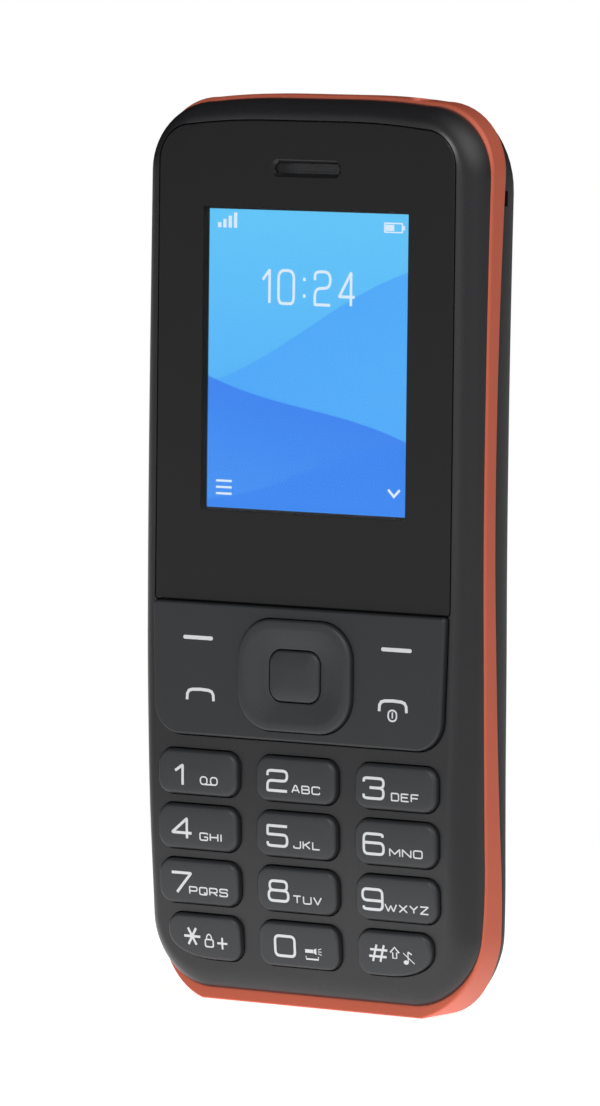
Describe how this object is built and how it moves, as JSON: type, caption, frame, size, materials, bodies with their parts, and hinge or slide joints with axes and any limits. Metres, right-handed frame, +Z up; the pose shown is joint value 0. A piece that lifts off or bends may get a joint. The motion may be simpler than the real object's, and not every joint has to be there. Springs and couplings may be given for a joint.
{
  "type": "feature phone",
  "caption": "Slim bar phone with a portrait colour display over a four-way pad and number keys, a coral side band, a lift-off back cover and a removable battery.",
  "frame": {"origin": "middle of the overall box, on the flat foot", "axes": "+X to the right seen from the front, +Y from the front to the back, +Z up the phone"},
  "size_m": [0.047, 0.0142, 0.1071],
  "materials": {
    "shell_black": "fine satin grain",
    "panel_black": "polished panel, clear over the picture",
    "adhesive": "black tape",
    "mesh": "fine dark mesh",
    "band_coral": "coral paint, satin",
    "chassis": "moulded",
    "keys_grey": "soft satin, printed legends",
    "silicone": "soft moulded",
    "domes": "snap domes on film",
    "display": "lit colour display",
    "backlight": "white frame",
    "flex": "amber film",
    "board": "green solder mask",
    "can": "pressed sheet",
    "speaker": "moulded basket and cone",
    "motor": "drawn can",
    "weight": "sintered",
    "contact": "gold plated",
    "connector": "moulded",
    "antenna": "copper film",
    "battery": "printed wrap",
    "screw": "plated",
    "led": "phosphor",
    "torch": "clear"
  },
  "bodies": {
    "phone": {"front_housing": "shell_black", "display_lens": "panel_black", "lens_adhesive": "adhesive", "earpiece_mesh": "mesh", "mid_band": "band_coral", "rear_housing": "chassis", "keymat": "silicone", "dome_sheet": "domes", "lcd_panel": "display", "lcd_backlight": "backlight", "lcd_flex": "flex", "main_board": "board", "shield_can": "can", "receiver": "can", "loudspeaker": "speaker", "microphone": "can", "vibration_motor": "motor", "sim_sockets": "can", "memory_card_socket": "can", "battery_connector": "connector", "micro_usb_socket": "can", "headphone_jack": "connector", "antenna": "antenna", "housing_screws": "screw", "torch_led": "led", "torch_lens": "torch"},
    "key_1": {"key_1": "keys_grey"},
    "key_2": {"key_2": "keys_grey"},
    "key_3": {"key_3": "keys_grey"},
    "key_4": {"key_4": "keys_grey"},
    "key_5": {"key_5": "keys_grey"},
    "key_6": {"key_6": "keys_grey"},
    "key_7": {"key_7": "keys_grey"},
    "key_8": {"key_8": "keys_grey"},
    "key_9": {"key_9": "keys_grey"},
    "key_star": {"key_star": "keys_grey"},
    "key_0": {"key_0": "keys_grey"},
    "key_hash": {"key_hash": "keys_grey"},
    "ok_key": {"ok_key": "keys_grey"},
    "plate_rocker": {"function_plate_web": "silicone"},
    "plate": {"function_plate": "keys_grey"},
    "pad_rocker": {"dpad_web": "silicone"},
    "pad": {"dpad_ring": "keys_grey"},
    "cover": {"battery_cover": "shell_black"},
    "battery": {"battery": "battery"},
    "contacts": {"battery_contacts": "contact"},
    "motor_weight": {"vibration_weight": "weight"}
  },
  "joints": [
    {"name": "key_1_press", "type": "slide", "parent": "phone", "child": "key_1", "axis": [0, 1, 0], "range_m": [0, 0.00025], "stiffness_N_per_m": 2000, "deforming": ["keymat", "dome_sheet"]},
    {"name": "key_2_press", "type": "slide", "parent": "phone", "child": "key_2", "axis": [0, 1, 0], "range_m": [0, 0.00025], "stiffness_N_per_m": 2000, "deforming": ["keymat", "dome_sheet"]},
    {"name": "key_3_press", "type": "slide", "parent": "phone", "child": "key_3", "axis": [0, 1, 0], "range_m": [0, 0.00025], "stiffness_N_per_m": 2000, "deforming": ["keymat", "dome_sheet"]},
    {"name": "key_4_press", "type": "slide", "parent": "phone", "child": "key_4", "axis": [0, 1, 0], "range_m": [0, 0.00025], "stiffness_N_per_m": 2000, "deforming": ["keymat", "dome_sheet"]},
    {"name": "key_5_press", "type": "slide", "parent": "phone", "child": "key_5", "axis": [0, 1, 0], "range_m": [0, 0.00025], "stiffness_N_per_m": 2000, "deforming": ["keymat", "dome_sheet"]},
    {"name": "key_6_press", "type": "slide", "parent": "phone", "child": "key_6", "axis": [0, 1, 0], "range_m": [0, 0.00025], "stiffness_N_per_m": 2000, "deforming": ["keymat", "dome_sheet"]},
    {"name": "key_7_press", "type": "slide", "parent": "phone", "child": "key_7", "axis": [0, 1, 0], "range_m": [0, 0.00025], "stiffness_N_per_m": 2000, "deforming": ["keymat", "dome_sheet"]},
    {"name": "key_8_press", "type": "slide", "parent": "phone", "child": "key_8", "axis": [0, 1, 0], "range_m": [0, 0.00025], "stiffness_N_per_m": 2000, "deforming": ["keymat", "dome_sheet"]},
    {"name": "key_9_press", "type": "slide", "parent": "phone", "child": "key_9", "axis": [0, 1, 0], "range_m": [0, 0.00025], "stiffness_N_per_m": 2000, "deforming": ["keymat", "dome_sheet"]},
    {"name": "key_star_press", "type": "slide", "parent": "phone", "child": "key_star", "axis": [0, 1, 0], "range_m": [0, 0.00025], "stiffness_N_per_m": 2000, "deforming": ["keymat", "dome_sheet"]},
    {"name": "key_0_press", "type": "slide", "parent": "phone", "child": "key_0", "axis": [0, 1, 0], "range_m": [0, 0.00025], "stiffness_N_per_m": 2000, "deforming": ["keymat", "dome_sheet"]},
    {"name": "key_hash_press", "type": "slide", "parent": "phone", "child": "key_hash", "axis": [0, 1, 0], "range_m": [0, 0.00025], "stiffness_N_per_m": 2000, "deforming": ["keymat", "dome_sheet"]},
    {"name": "ok_key_press", "type": "slide", "parent": "phone", "child": "ok_key", "axis": [0, 1, 0], "range_m": [0, 0.00025], "stiffness_N_per_m": 2000, "deforming": ["keymat", "dome_sheet"]},
    {"name": "plate_rock_up_down", "type": "hinge", "parent": "phone", "child": "plate_rocker", "pos_m": [0, -0.00505, 0.03932], "axis": [1, 0, 0], "range_deg": [-1, 1], "stiffness_Nm_per_rad": 0.4, "deforming": ["keymat", "dome_sheet"]},
    {"name": "plate_rock_sideways", "type": "hinge", "parent": "plate_rocker", "child": "plate", "pos_m": [0, -0.00505, 0.03932], "axis": [0, 0, 1], "range_deg": [-1, 1], "stiffness_Nm_per_rad": 0.4, "deforming": ["keymat", "dome_sheet"]},
    {"name": "pad_rock_up_down", "type": "hinge", "parent": "phone", "child": "pad_rocker", "pos_m": [0, -0.00455, 0.03932], "axis": [1, 0, 0], "range_deg": [-1.8, 1.8], "stiffness_Nm_per_rad": 0.4, "deforming": ["keymat", "dome_sheet"]},
    {"name": "pad_rock_sideways", "type": "hinge", "parent": "pad_rocker", "child": "pad", "pos_m": [0, -0.00455, 0.03932], "axis": [0, 0, 1], "range_deg": [-1.8, 1.8], "stiffness_Nm_per_rad": 0.4, "deforming": ["keymat", "dome_sheet"]},
    {"name": "cover_lift_off", "type": "slide", "parent": "phone", "child": "cover", "axis": [0, 1, 0], "range_m": [0, 0.04]},
    {"name": "battery_lift_out", "type": "slide", "parent": "phone", "child": "battery", "axis": [0, 1, 0], "range_m": [0, 0.02]},
    {"name": "contacts_spring", "type": "slide", "parent": "phone", "child": "contacts", "axis": [0, 0, 1], "range_m": [-0.0005, 0]},
    {"name": "weight_spin", "type": "hinge", "parent": "phone", "child": "motor_weight", "pos_m": [0, 0.00164, 0.08201], "axis": [1, 0, 0], "continuous": true}
  ],
  "couplings": [
    {"joint": "battery_lift_out", "follows": "cover_lift_off", "ratio": 0.5},
    {"joint": "contacts_spring", "follows": "cover_lift_off", "ratio": -0.0125}
  ]
}
